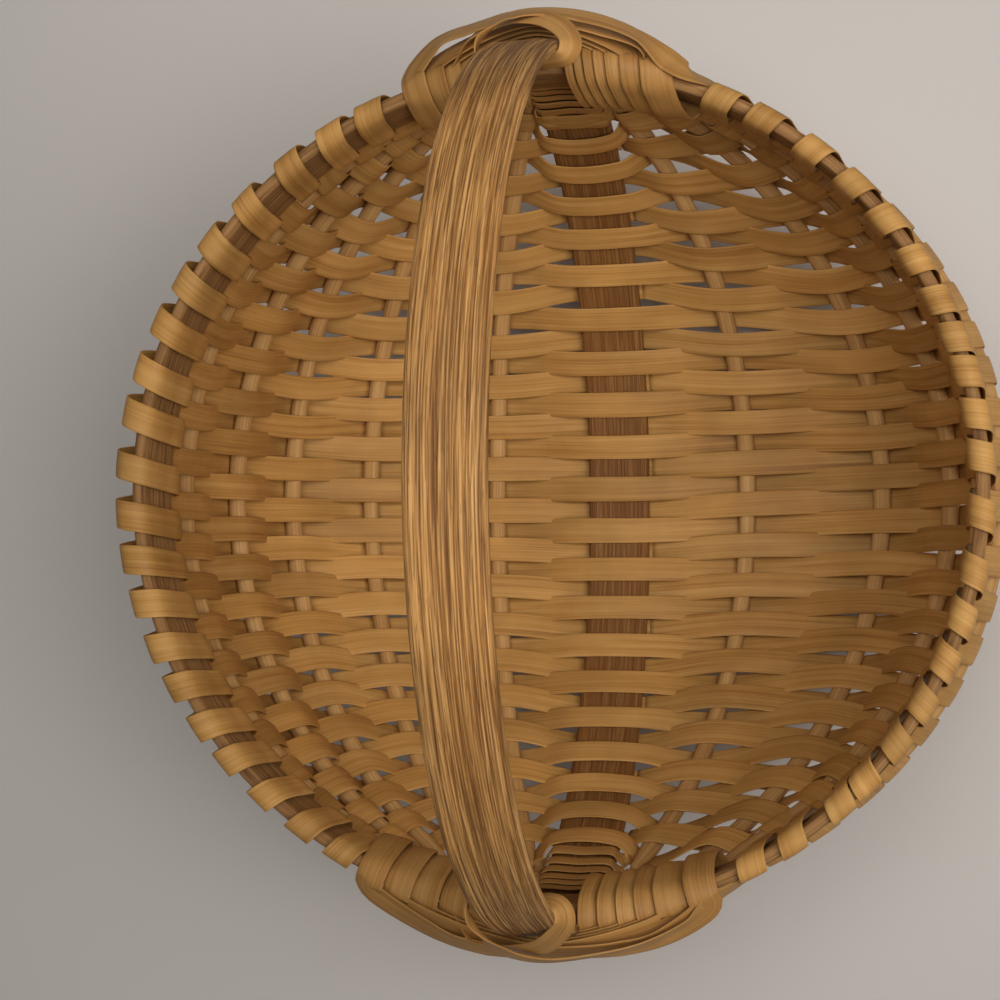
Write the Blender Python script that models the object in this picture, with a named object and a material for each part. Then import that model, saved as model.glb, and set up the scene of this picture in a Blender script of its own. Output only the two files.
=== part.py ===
"""Egg basket woven on two crossed hoops: a tall one that is both handle and keel, and a level one for the rim.

Ten round ribs are sprung from ear to ear, flat weavers run back and forth from rim to rim, and both ears are
lashed. Z is up, Y runs from ear to ear and X runs across. The origin lies under the middle of the basket, at
the height of the lowest weavers, on which it stands.
"""

import math

import bmesh
import bpy
import numpy as np

MM = 0.001

# Hoops: one strip of split oak each, an inch wide
HOOP_RADIUS = 152.4 * MM
HOOP_WIDTH = 24.6 * MM
HOOP_THICKNESS = 5.0 * MM
HOOP_EDGE = 1.2 * MM
RIM_HEIGHT = 25.0 * MM
RIM_THICKNESS = 4.8 * MM
RIM_REACH = 148.9 * MM
KEEL_DEPTH = 149.0 * MM

# Clear gap between neighbouring pieces, and between a weaver and what it crosses
GAP = 0.3 * MM
LAY = 0.4 * MM

# Ribs, in pairs from the keel out to the rim: how far out as shares of the rim's reach, how deep as shares of
# the keel's depth, how long towards the ears and how far pushed down there as shares of the hoop radius, and
# the direction that faces out of the basket, in degrees below level
RIB_RADIUS = 2.8 * MM
RIB_TIP_RADIUS = 1.3 * MM
RIB_REACH_SHARES = (0.351, 0.716, 0.900, 0.977, 1.021)
RIB_DEPTH_SHARES = (1.007, 0.987, 0.839, 0.593, 0.317)
RIB_LENGTH_SHARES = (0.980, 0.975, 0.970, 0.962, 0.955)
RIB_DROP_SHARES = (0.0, 0.0, 0.013, 0.039, 0.072)
RIB_FACINGS = (90.0, 66.0, 37.0, 18.0, 6.0)
RIB_DROP_POWER = 4
RIB_BACK_END = 71.4
RIB_FRONT_END = -64.2
RIB_TAPER = 12.0
RIB_STEP = 5.0

# The bottom is pressed flat over this many degrees to each side of the middle
FLAT_ANGLE = 5.0

# Weavers: flat splint, row after row from the back ear to the front ear
WEAVER_WIDTH = 7.9 * MM
WEAVER_THICKNESS = 1.0 * MM
FIRST_ROW_ANGLE = 70.0
ROW_STEP = 3.315
ROW_COUNT = 41
ROWS_PER_WEAVER = 4
RIB_FLAT = 2.2 * MM
KEEL_MARGIN = 1.0 * MM
WEAVER_END_GAP = 1.0 * MM
SETTLING_PASSES = 4

# Loop of a weaver round the rim, from the inner foot over the top to the outer foot, as shares of the rim
# height: out from the middle of the rim strip, and up
WRAP_SHARES = (
    (-0.140, -0.548),
    (-0.192, 0.420),
    (-0.096, 0.596),
    (0.120, 0.596),
    (0.288, 0.320),
    (0.264, -0.320),
    (0.080, -0.600),
)

# Ear wraps: a strip wound round rim and keel, turn beside turn, from the last row to the handle
EAR_WIDTH = 7.0 * MM
EAR_STEP = 2.9
EAR_BACK_START = 73.3
EAR_BACK_TURNS = 4
EAR_FRONT_START = 65.9
EAR_FRONT_TURNS = 6
EAR_INNER_BOW = 0.60
EAR_OUTER_BOW = 0.74
EAR_UNDER_RIM = 0.62
EAR_LAY = 0.6 * MM

# Ear straps: two strips that cross on the outer face of the handle, just above the rim. Their places are
# shares of the hoop radius: to the side, up, and on the outer run how far off the handle or rim they stand
STRAP_WIDTH = 7.0 * MM
STRAP_LAYER = 1.7 * MM
STRAP_LAY = 1.3 * MM
STRAP_BEHIND_SHARES = (-0.020, 0.265)
STRAP_EDGE_UP_SHARE = 0.285
STRAP_RUN_SHARES = (
    (-0.040, 0.275, 0.013),
    (0.050, 0.190, 0.020),
    (0.140, 0.100, 0.068),
    (0.230, 0.020, 0.067),
    (0.310, -0.040, 0.063),
)
STRAP_STEPS = 4

# Facets, and the bends in degrees that are still shaded smooth
HOOP_STEPS = 72
HOOP_SMOOTH_BELOW = 40.0
RIB_SIDES = 6
RIB_SMOOTH_BELOW = 65.0

FULL_TURN = 360.0
RIGHT_SIDE = 1.0
LEFT_SIDE = -1.0
BACK = 1.0
FRONT = -1.0

OAK = ("oak", (0.44, 0.24, 0.10, 1.0), 0.62)
RIM_OAK = ("rim_oak", (0.24, 0.12, 0.05, 1.0), 0.66)
REED = ("reed", (0.52, 0.31, 0.13, 1.0), 0.58)
SPLINT = ("splint", (0.47, 0.27, 0.11, 1.0), 0.56)


def clear_scene():
    """Removes whatever the scene starts with."""
    for item in list(bpy.data.objects):
        bpy.data.objects.remove(item, do_unlink=True)


def wood(name, colour, roughness):
    """A plain dry wood."""
    made = bpy.data.materials.new(name)
    made.use_nodes = True
    shader = made.node_tree.nodes["Principled BSDF"]
    shader.inputs["Base Color"].default_value = colour
    shader.inputs["Roughness"].default_value = roughness
    shader.inputs["Metallic"].default_value = 0.0
    return made


def unit(vectors):
    """Vectors scaled to length one, row by row."""
    return vectors / np.linalg.norm(vectors, axis=-1, keepdims=True)


def pressed(angles):
    """Cosine of the angle from the middle, held level where the bottom is pressed flat."""
    return np.minimum(np.cos(angles), math.cos(math.radians(FLAT_ANGLE)))


def facing_angles(angles):
    """Angle that the outer side faces: none within the flat bottom, the full angle outside it."""
    return np.where(np.abs(angles) <= math.radians(FLAT_ANGLE), 0.0, angles)


class Strand:
    """One hoop or rib as the weavers meet it: a curve from ear to ear, its section and its outer side."""

    def __init__(self, side, reach, depth, length, facing, half_thickness, half_width, drop=0.0):
        self.side = side
        self.reach = reach
        self.depth = depth
        self.length = length
        self.drop = drop
        self.facing = math.radians(facing)
        self.half_thickness = half_thickness
        self.half_width = half_width

    def point(self, angles):
        """Centre line: an arc of an ellipse that leans out by its reach, lower by its drop at the ears."""
        angles = np.asarray(angles, float)
        across = self.side * self.reach * np.cos(angles)
        down = self.depth * pressed(angles) + self.drop * np.sin(angles) ** RIB_DROP_POWER
        return np.stack([across, self.length * np.sin(angles), -down], axis=-1)

    def along(self, angles):
        """Direction of the strand towards the back ear."""
        step = math.radians(ROW_STEP) / 2
        angles = np.asarray(angles, float)
        return unit(self.point(angles + step) - self.point(angles - step))

    def outward(self, angles):
        """Direction out of the basket, square to the strand."""
        angles = facing_angles(np.asarray(angles, float))
        out = self.side * math.cos(self.facing) * np.cos(angles)
        facing = np.stack([out, np.sin(angles), -math.sin(self.facing) * np.cos(angles)], axis=-1)
        along = self.along(angles)
        facing = facing - along * np.sum(facing * along, axis=-1, keepdims=True)
        return unit(facing)


def rim_strand(side):
    """The rim as one of the thirteen strands."""
    half = RIM_THICKNESS / 2
    facet = math.cos(math.radians(FULL_TURN / HOOP_STEPS / 2))
    inner = (HOOP_RADIUS - HOOP_THICKNESS) * facet
    length = math.sqrt(inner**2 - (RIM_HEIGHT / 2) ** 2) - GAP - half
    return Strand(side, RIM_REACH - half, 0.0, length, 0.0, half, RIM_HEIGHT / 2)


def keel_strand():
    """The lower half of the tall hoop."""
    half = HOOP_THICKNESS / 2
    return Strand(RIGHT_SIDE, 0.0, KEEL_DEPTH - half, HOOP_RADIUS - half, 90.0, half, HOOP_WIDTH / 2)


def rib_strand(side, number):
    """A rib, numbered from the keel outwards."""
    reach = RIB_REACH_SHARES[number - 1] * RIM_REACH
    depth = RIB_DEPTH_SHARES[number - 1] * KEEL_DEPTH
    length = RIB_LENGTH_SHARES[number - 1] * HOOP_RADIUS
    drop = RIB_DROP_SHARES[number - 1] * HOOP_RADIUS
    return Strand(side, reach, depth, length, RIB_FACINGS[number - 1], RIB_RADIUS, 0.0, drop)


def all_strands():
    """The strands in the order that a weaver meets them, from the right rim round to the left rim."""
    numbers = range(1, len(RIB_REACH_SHARES) + 1)
    right = [rib_strand(RIGHT_SIDE, number) for number in reversed(numbers)]
    left = [rib_strand(LEFT_SIDE, number) for number in numbers]
    return [rim_strand(RIGHT_SIDE), *right, keel_strand(), *left, rim_strand(LEFT_SIDE)]


def floor_height():
    """How far below the middle of the rim the lowest weavers reach."""
    depth = RIB_DEPTH_SHARES[0] * KEEL_DEPTH * math.cos(math.radians(FLAT_ANGLE))
    return depth + RIB_RADIUS + LAY + WEAVER_THICKNESS


def add_mesh(name, points, faces, material, smooth_below=None):
    """A mesh object from its points and faces, raised so that the basket stands on the origin's level."""
    raised = np.asarray(points, float) + np.array([0.0, 0.0, floor_height()])
    mesh = bpy.data.meshes.new(name)
    mesh.from_pydata(raised.tolist(), [], faces)
    shape = bmesh.new()
    shape.from_mesh(mesh)
    bmesh.ops.recalc_face_normals(shape, faces=shape.faces)
    shape.to_mesh(mesh)
    shape.free()
    mesh.materials.append(material)
    if smooth_below is not None:
        mesh.shade_smooth()
        mesh.set_sharp_from_angle(angle=math.radians(smooth_below))
    made = bpy.data.objects.new(name, mesh)
    bpy.context.scene.collection.objects.link(made)
    return made


def skin(sections, closed):
    """Points and faces of a body skinned over equal sections, its ends capped unless it closes on itself."""
    count, corners = sections.shape[:2]
    faces = []
    for step in range(count if closed else count - 1):
        here, there = step * corners, (step + 1) % count * corners
        for corner in range(corners):
            after = (corner + 1) % corners
            faces.append((here + corner, here + after, there + after, there + corner))
    if not closed:
        faces.append(tuple(range(corners)))
        faces.append(tuple(reversed(range((count - 1) * corners, count * corners))))
    return sections.reshape(-1, 3), faces


def eased_rectangle(half_thickness, half_width, edge):
    """Corners of a strip's section with its edges eased: out through the thickness, and over the width."""
    thick, wide = half_thickness, half_width
    return np.array(
        [
            (thick, wide - edge),
            (thick - edge, wide),
            (edge - thick, wide),
            (-thick, wide - edge),
            (-thick, edge - wide),
            (edge - thick, -wide),
            (thick - edge, -wide),
            (thick, edge - wide),
        ]
    )


def strip_body(path, across, width, thickness):
    """A flat strip along a path: each bend is mitred, so that the strip keeps its thickness round it."""
    runs = unit(np.diff(path, axis=0))
    middles = unit(across[:-1] + across[1:])
    normals = unit(np.cross(runs, middles))
    before = np.concatenate([normals[:1], normals])
    after = np.concatenate([normals, normals[-1:]])
    mitre = unit(before + after)
    mitre = mitre / np.sum(mitre * after, axis=1, keepdims=True)
    wide = across * (width / 2)
    thick = mitre * (thickness / 2)
    corners = [path + wide + thick, path - wide + thick, path - wide - thick, path + wide - thick]
    sections = np.stack(corners, axis=1)
    return skin(sections, closed=False)


def make_handle_hoop(material):
    """The tall hoop: handle above, keel below, with the keel a little shallower and pressed flat."""
    angles = np.radians(np.arange(HOOP_STEPS) * FULL_TURN / HOOP_STEPS)
    rises = np.sin(angles)
    radius = HOOP_RADIUS - HOOP_THICKNESS / 2
    depth = KEEL_DEPTH - HOOP_THICKNESS / 2
    flat = math.cos(math.radians(FLAT_ANGLE))
    heights = np.where(rises > 0.0, radius * rises, -depth * np.minimum(-rises, flat))
    centre = np.stack([0.0 * angles, radius * np.cos(angles), heights], axis=1)
    ahead = unit(np.roll(centre, -1, axis=0) - np.roll(centre, 1, axis=0))
    side = np.array([1.0, 0.0, 0.0])
    out = np.cross(side, ahead)
    section = eased_rectangle(HOOP_THICKNESS / 2, HOOP_WIDTH / 2, HOOP_EDGE)
    sections = centre[:, None] + section[None, :, :1] * -out[:, None] + section[None, :, 1:] * side
    points, faces = skin(sections, closed=True)
    add_mesh("handle_hoop", points, faces, material, HOOP_SMOOTH_BELOW)


def make_rim_hoop(material):
    """The level hoop that the weavers turn round; it sits inside the tall hoop where the two cross."""
    strand = rim_strand(RIGHT_SIDE)
    angles = np.radians(np.arange(HOOP_STEPS) * FULL_TURN / HOOP_STEPS)
    centre = np.stack([strand.reach * np.cos(angles), strand.length * np.sin(angles), 0.0 * angles], axis=1)
    ahead = unit(np.roll(centre, -1, axis=0) - np.roll(centre, 1, axis=0))
    up = np.array([0.0, 0.0, 1.0])
    out = np.cross(ahead, up)
    section = eased_rectangle(RIM_THICKNESS / 2, RIM_HEIGHT / 2, HOOP_EDGE)
    sections = centre[:, None] + section[None, :, :1] * out[:, None] + section[None, :, 1:] * up
    points, faces = skin(sections, closed=True)
    add_mesh("rim_hoop", points, faces, material, HOOP_SMOOTH_BELOW)


def make_rib(side, number, material):
    """A round rib, whittled thinner towards both tips where it is tucked into the ears."""
    strand = rib_strand(side, number)
    ends = np.radians([RIB_FRONT_END, RIB_BACK_END])
    inner = np.arange(math.ceil(RIB_FRONT_END / RIB_STEP), math.floor(RIB_BACK_END / RIB_STEP) + 1)
    angles = np.concatenate([ends[:1], np.radians(inner * RIB_STEP), ends[1:]])
    centre = strand.point(angles)
    near_tip = np.minimum(angles - ends[0], ends[1] - angles) / math.radians(RIB_TAPER)
    radii = RIB_TIP_RADIUS + (RIB_RADIUS - RIB_TIP_RADIUS) * np.minimum(near_tip, 1.0)
    along = unit(np.gradient(centre, axis=0))
    out = strand.outward(angles)
    beside = np.cross(along, out)
    turns = np.radians(np.arange(RIB_SIDES) * FULL_TURN / RIB_SIDES)
    ring = np.cos(turns)[None, :, None] * out[:, None] + np.sin(turns)[None, :, None] * beside[:, None]
    sections = centre[:, None] + radii[:, None, None] * ring
    points, faces = skin(sections, closed=False)
    side_name = "right" if side > 0.0 else "left"
    add_mesh(f"rib_{side_name}_{number}", points, faces, material, RIB_SMOOTH_BELOW)


def rib_radius_at(angle):
    """Radius of a rib at an angle from the middle, with its tapered tips."""
    to_tip = min(angle - math.radians(RIB_FRONT_END), math.radians(RIB_BACK_END) - angle)
    share = min(max(to_tip / math.radians(RIB_TAPER), 0.0), 1.0)
    return RIB_TIP_RADIUS + (RIB_RADIUS - RIB_TIP_RADIUS) * share


def row_angle(row):
    """Angle of a row from the middle of the basket, rows counted from the back ear."""
    return math.radians(FIRST_ROW_ANGLE - ROW_STEP * row)


def row_crossings(strands, row):
    """Where a row crosses the strands between the rims: centres, the sides it passes on, clearances."""
    angle = row_angle(row)
    centres, passing_sides, clearances = [], [], []
    for place, strand in enumerate(strands[1:-1], start=1):
        inside = (place + row) % 2 == 0
        half = strand.half_thickness if strand.half_width else rib_radius_at(angle)
        centres.append(strand.point(angle))
        passing_sides.append(strand.outward(angle) * (-1.0 if inside else 1.0))
        clearances.append(half + LAY + WEAVER_THICKNESS / 2)
    return np.array(centres), np.array(passing_sides), np.array(clearances)


def slanted_heights(centres, passing_sides, clearances):
    """How far a row stands off each strand, to keep its clearance where it slants past a round rib."""
    heights = clearances
    for _ in range(SETTLING_PASSES):
        runs = unit(np.diff(centres + passing_sides * heights[:, None], axis=0))
        leaving = np.abs(np.sum(runs * passing_sides[:-1], axis=1))
        arriving = np.abs(np.sum(runs * passing_sides[1:], axis=1))
        steepest = np.maximum(np.append(leaving, 0.0), np.insert(arriving, 0, 0.0))
        heights = clearances / np.sqrt(1.0 - steepest**2)
    return heights


def row_path(strands, row):
    """A row from the right rim to the left: over and under the ribs, level past the keel and ribs 1."""
    angle = row_angle(row)
    centres, passing_sides, clearances = row_crossings(strands, row)
    heights = slanted_heights(centres, passing_sides, clearances)
    path, across = [], []
    middle = len(centres) // 2
    for place, strand in enumerate(strands[1:-1]):
        along = strand.along(angle)
        travel = unit(np.cross(strand.outward(angle), along))
        half_run = strand.half_width + KEEL_MARGIN if place == middle else RIB_FLAT
        if abs(place - middle) > 1:
            path.append(centres[place] + passing_sides[place] * heights[place])
            across.append(along)
            continue
        level = centres[place] + passing_sides[place] * clearances[place]
        path += [level + travel * half_run, level - travel * half_run]
        across += [along, along]
    return np.array(path), np.array(across)


def rim_loop(strand, start, end):
    """Points round the rim from its inner foot over the top to its outer foot, drifting from start to end."""
    shares = np.array(WRAP_SHARES) * RIM_HEIGHT
    angles = np.linspace(start, end, len(shares))
    centre, out = strand.point(angles), strand.outward(angles)
    up = np.array([0.0, 0.0, 1.0])
    return centre + out * shares[:, :1] + up * shares[:, 1:], strand.along(angles)


def whole_weave(strands):
    """The one path that all rows make, rim loops included, and the places where a weaver may end."""
    paths, across, ends = [], [], []
    for row in range(ROW_COUNT):
        angle, next_angle = row_angle(row), row_angle(row + 1)
        path, wide = row_path(strands, row)
        leftwards = row % 2 == 1
        if not leftwards:
            path, wide = path[::-1], wide[::-1]
        if row % ROWS_PER_WEAVER == ROWS_PER_WEAVER - 1 and row < ROW_COUNT - 1:
            ends.append(sum(len(part) for part in paths) + len(path) // 2)
        paths.append(path)
        across.append(wide)
        if row == ROW_COUNT - 1:
            break
        if leftwards:
            loop, loop_wide = rim_loop(strands[-1], next_angle, angle)
            loop, loop_wide = loop[::-1], loop_wide[::-1]
        else:
            loop, loop_wide = rim_loop(strands[0], angle, next_angle)
        paths.append(loop)
        across.append(loop_wide)
    return np.concatenate(paths), np.concatenate(across), ends


def make_weavers(strands, material):
    """The weavers: each is some four rows long and ends behind the keel, where the next begins."""
    path, across, ends = whole_weave(strands)
    starts = [0, *ends]
    stops = [*ends, len(path)]
    for number, (start, stop) in enumerate(zip(starts, stops), start=1):
        points, wide = path[start:stop].copy(), across[start:stop]
        if start:
            join = path[start - 1], path[start]
            middle = (join[0] + join[1]) / 2
            points = np.concatenate([[middle + unit(join[1] - join[0]) * WEAVER_END_GAP / 2], points])
            wide = np.concatenate([wide[:1], wide])
        if stop < len(path):
            join = path[stop - 1], path[stop]
            middle = (join[0] + join[1]) / 2
            points = np.concatenate([points, [middle - unit(join[1] - join[0]) * WEAVER_END_GAP / 2]])
            wide = np.concatenate([wide, wide[-1:]])
        made, faces = strip_body(points, wide, WEAVER_WIDTH, WEAVER_THICKNESS)
        add_mesh(f"weaver_{number:02d}", made, faces, material)


def pass_through(strands, angle, bow, inside):
    """One crossing of an ear wrap from the left rim past the keel to the right rim, inside or outside."""
    left, keel, right = strands[-1], strands[len(strands) // 2], strands[0]
    away = -1.0 if inside else 1.0
    lift = keel.half_thickness + EAR_LAY + WEAVER_THICKNESS / 2
    middle = keel.point(angle) + keel.outward(angle) * away * lift
    along = keel.along(angle)
    path, across = [], []
    for side, rim in ((LEFT_SIDE, left), (RIGHT_SIDE, right)):
        beside = middle + np.array([side * (keel.half_width + KEEL_MARGIN), 0.0, 0.0])
        reach, depth = rim.point(angle), keel.point(angle)
        bowed_out = side * max(abs(reach[0]) * bow, keel.half_width + 2 * KEEL_MARGIN)
        bowed_down = min(depth[2] * bow, -RIM_HEIGHT * EAR_UNDER_RIM)
        bowed = np.array([bowed_out, (reach[1] + depth[1]) / 2, bowed_down])
        pair = [(bowed, unit(along + rim.along(angle))), (beside, along)]
        for point, wide in pair if side < 0.0 else reversed(pair):
            path.append(point)
            across.append(wide)
    return np.array(path), np.array(across)


def make_ear_wrap(strands, end, start, turns, material):
    """A strip wound round both hoops of an ear: inside past the keel, over the rim, back outside the keel."""
    paths, across = [], []
    step = math.radians(EAR_STEP)
    for turn in range(turns):
        angle = math.radians(start) + turn * step
        inner, inner_wide = pass_through(strands, end * angle, EAR_INNER_BOW, True)
        outer, outer_wide = pass_through(strands, end * (angle + step / 2), EAR_OUTER_BOW, False)
        over, over_wide = rim_loop(strands[0], end * angle, end * (angle + step / 2))
        paths += [inner, over]
        across += [inner_wide, over_wide]
        if turn < turns - 1:
            back, back_wide = rim_loop(strands[-1], end * (angle + step), end * (angle + step / 2))
            paths += [outer[::-1], back[::-1]]
            across += [outer_wide[::-1], back_wide[::-1]]
    points, faces = strip_body(np.concatenate(paths), np.concatenate(across), EAR_WIDTH, WEAVER_THICKNESS)
    add_mesh(f"ear_wrap_{'back' if end > 0.0 else 'front'}", points, faces, material)


def smooth_path(points, steps):
    """A curve through the points, each run a cubic that leaves a point the way its two neighbours lie."""
    padded = np.concatenate([2 * points[:1] - points[1:2], points, 2 * points[-1:] - points[-2:-1]])
    share = (np.arange(steps) / steps)[:, None]
    runs = []
    for first, second, third, fourth in zip(padded, padded[1:], padded[2:], padded[3:]):
        swing = 2 * first - 5 * second + 4 * third - fourth
        twist = 3 * second - first - 3 * third + fourth
        runs.append(second + (share * (third - first) + share**2 * swing + share**3 * twist) / 2)
    return np.concatenate([*runs, points[-1:]])


def strap_over_ear(shares, layer):
    """A place on the outer run of a strap and the way it faces: over the handle, or out over the wraps."""
    across, up, stand_off = (share * HOOP_RADIUS for share in shares)
    if abs(across) < HOOP_WIDTH / 2:
        reach = math.sqrt(HOOP_RADIUS**2 - up**2) + stand_off + layer
        return (across, reach, up), (0.0, HOOP_RADIUS, up)
    rim = rim_strand(RIGHT_SIDE)
    angle = math.acos(across / rim.reach)
    out = rim.outward(angle)
    point = rim.point(angle) + out * (stand_off + layer)
    return (point[0], point[1], up), out * HOOP_RADIUS


def strap_round_edge():
    """The start of a strap: behind the handle, then square round its edge."""
    behind, up = STRAP_BEHIND_SHARES[0] * HOOP_RADIUS, STRAP_BEHIND_SHARES[1] * HOOP_RADIUS
    edge, edge_up = -HOOP_WIDTH / 2 - STRAP_LAY, STRAP_EDGE_UP_SHARE * HOOP_RADIUS
    inner = math.sqrt((HOOP_RADIUS - HOOP_THICKNESS) ** 2 - edge_up**2) - 2 * STRAP_LAY
    outer = math.sqrt(HOOP_RADIUS**2 - edge_up**2) + STRAP_LAY
    places = [(behind, inner, up), (edge, inner, edge_up), (edge, outer, edge_up)]
    return places, [(0.0, -1.0, 0.0), (-1.0, -1.0, 0.0), (-1.0, 1.0, 0.0)]


def make_ear_strap(side, end, layer, material):
    """A strip that comes round one edge of the handle and runs slanting down to the far side of the ear."""
    start, start_facing = strap_round_edge()
    outer = [strap_over_ear(shares, layer) for shares in STRAP_RUN_SHARES]
    run = smooth_path(np.array([place for place, _ in outer]), STRAP_STEPS)
    run_facing = smooth_path(np.array([facing for _, facing in outer]), STRAP_STEPS)
    flip = np.array([side, end, 1.0])
    path = np.concatenate([start, run]) * flip
    facing = np.concatenate([unit(np.array(start_facing)), unit(run_facing)]) * flip
    across = unit(np.cross(facing, np.gradient(path, axis=0)))
    points, faces = strip_body(path, across, STRAP_WIDTH, WEAVER_THICKNESS)
    end_name = "back" if end > 0.0 else "front"
    add_mesh(f"ear_strap_{end_name}_{'left' if side < 0.0 else 'right'}", points, faces, material)


def make_ears(strands, material):
    """Both lashed ears: the wrap and the two crossed straps of each."""
    make_ear_wrap(strands, BACK, EAR_BACK_START, EAR_BACK_TURNS, material)
    make_ear_wrap(strands, FRONT, EAR_FRONT_START, EAR_FRONT_TURNS, material)
    for end in (BACK, FRONT):
        make_ear_strap(RIGHT_SIDE, end, 0.0, material)
        make_ear_strap(LEFT_SIDE, end, STRAP_LAYER, material)


def main():
    clear_scene()
    oak, rim_oak, reed, splint = wood(*OAK), wood(*RIM_OAK), wood(*REED), wood(*SPLINT)
    strands = all_strands()
    make_handle_hoop(oak)
    make_rim_hoop(rim_oak)
    for side in (LEFT_SIDE, RIGHT_SIDE):
        for number in range(1, len(RIB_REACH_SHARES) + 1):
            make_rib(side, number, reed)
    make_weavers(strands, splint)
    make_ears(strands, splint)


main()
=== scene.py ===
"""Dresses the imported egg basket: oak hoops, reed ribs, splint weavers and two lashed ears."""

import math

import bpy
import numpy as np
from mathutils import Matrix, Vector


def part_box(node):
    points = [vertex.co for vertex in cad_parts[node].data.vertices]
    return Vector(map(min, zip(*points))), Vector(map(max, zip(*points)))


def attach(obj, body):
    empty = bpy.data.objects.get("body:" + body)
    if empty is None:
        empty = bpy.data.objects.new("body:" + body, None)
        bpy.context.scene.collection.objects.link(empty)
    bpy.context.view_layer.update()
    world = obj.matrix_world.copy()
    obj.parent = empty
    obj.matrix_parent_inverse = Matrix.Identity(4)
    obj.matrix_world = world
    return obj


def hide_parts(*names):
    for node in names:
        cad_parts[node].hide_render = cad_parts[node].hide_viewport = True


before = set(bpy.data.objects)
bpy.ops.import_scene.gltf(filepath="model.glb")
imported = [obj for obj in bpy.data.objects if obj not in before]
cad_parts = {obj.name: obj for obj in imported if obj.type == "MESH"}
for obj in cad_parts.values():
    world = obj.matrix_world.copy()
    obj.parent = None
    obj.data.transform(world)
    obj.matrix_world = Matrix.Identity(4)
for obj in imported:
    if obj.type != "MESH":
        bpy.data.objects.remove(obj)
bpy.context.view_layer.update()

MM = 0.001
BODY = "root"

# Driving sizes, read from the frame
HOOP_LOW, HOOP_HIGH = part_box("handle_hoop")
RIM_LOW, RIM_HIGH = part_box("rim_hoop")
HOOP_RADIUS = (HOOP_HIGH[1] - HOOP_LOW[1]) / 2
HOOP_WIDTH = HOOP_HIGH[0] - HOOP_LOW[0]
RIM_LEVEL = (RIM_HIGH[2] + RIM_LOW[2]) / 2
RIM_HEIGHT = RIM_HIGH[2] - RIM_LOW[2]
RIM_REACH = (RIM_HIGH[0] - RIM_LOW[0]) / 2
RIM_LENGTH = (RIM_HIGH[1] - RIM_LOW[1]) / 2

# Strips and ribs. The rim leans out by this slope on the left
HOOP_THICKNESS = 5.0 * MM
KEEL_HALF = HOOP_THICKNESS / 2
KEEL_DEPTH = 0.9777 * HOOP_RADIUS
RIM_THICKNESS = 4.8 * MM
RIM_HALF = RIM_THICKNESS / 2
RIM_LEAN = 0.09
RIB_RADIUS = 3.4 * MM
RIB_TIP_RADIUS = 1.3 * MM
SPLINT_WIDTH = 10.1 * MM
SPLINT_THICKNESS = 0.95 * MM
LAY = 0.12 * MM
KEEL_ROOM = 1.0 * MM
RIB_UNEVEN = 0.05
SPLINT_UNEVEN = 0.045

# Near the ears, from SPREAD_START on and over SPREAD_OVER degrees, splints get narrower at the keel and wider
# from the first ribs on, by these shares
NARROWER_AT_KEEL = 0.09
WIDER_AT_FIRST_RIB = 0.08
WIDER_AT_RIBS = 0.22
SPREAD_START = 20.0
SPREAD_OVER = 28.0

# There the rows also bend: at the first ribs they lie nearer the ear than at the keel, by ROW_BEND degrees
# where the bend is full, and each strand takes its share of that
ROW_BEND = 3.2
BEND_START = 38.0
BEND_OVER = 24.0
BEND_POWER = 1.3
RIB_BEND_SHARES = np.array([1.0, 0.25, 0.0, 0.0, 0.0])

# Ribs in pairs from the keel out: reach and depth as shares of rim reach and keel depth, length and drop of
# the hoop's radius, how many degrees below level each faces, and how many degrees round the belly from the
# keel it lies; then the angles where all their tips end, and the degrees over which they taper
RIB_REACH_SHARES = np.array([0.351, 0.716, 0.900, 0.977, 1.021])
RIB_DEPTH_SHARES = np.array([1.007, 0.987, 0.839, 0.593, 0.317])
RIB_LENGTH_SHARES = np.array([0.980, 0.975, 0.970, 0.962, 0.955])
RIB_DROP_SHARES = np.array([0.0, 0.0, 0.013, 0.039, 0.072])
RIB_FACINGS = np.array([90.0, 66.0, 37.0, 18.0, 6.0])
RIB_CROSS_ANGLES = np.array([19.0, 35.0, 46.0, 59.0, 73.0])
RIB_ENDS = (-68.5, 74.5)
RIB_TAPER = 5.0
FLAT_ANGLE = 5.0

# Rows: the angle of every second row where it passes under the keel, and of each turn round either rim
KEEL_ROWS = (67.3, 60.5, 53.5, 46.6, 40.3, 33.0, 24.9, 18.2, 11.3, 4.5,
             -2.2, -8.7, -14.8, -21.2, -27.5, -33.8, -40.2, -46.9, -53.0, -59.2)
LEFT_TURNS = (65.7, 59.5, 52.4, 44.4, 37.1, 30.4, 23.8, 16.9, 10.7, 3.5,
              -3.2, -9.3, -15.5, -22.0, -28.0, -34.4, -40.4, -47.3, -54.2, -60.5)
RIGHT_TURNS = (64.7, 58.3, 50.6, 43.6, 37.2, 30.6, 24.5, 19.2, 14.5, 8.8, 3.2,
               -4.2, -11.8, -18.0, -24.1, -30.3, -36.5, -42.9, -47.4, -55.3, -61.6)
ROW_COUNT = 41
ROWS_PER_WEAVER = 4
ROW_STEP = 3.315

# Turn of a weaver round the rim, from the inner foot over the top to the outer foot, as shares of the rim
# height: out from the middle of the rim strip on the right, on the left where it stands off further, and up
TURN_SHARES = np.array([
    (-0.145, -0.145, -0.520), (-0.165, -0.165, -0.100), (-0.175, -0.175, 0.300), (-0.120, -0.120, 0.530),
    (0.005, 0.030, 0.590), (0.115, 0.220, 0.545), (0.160, 0.370, 0.360), (0.160, 0.400, 0.030),
    (0.150, 0.310, -0.300), (0.110, 0.150, -0.560),
])

# Distance between two rings of a splint
STEP_ALONG = 2.4 * MM

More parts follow.
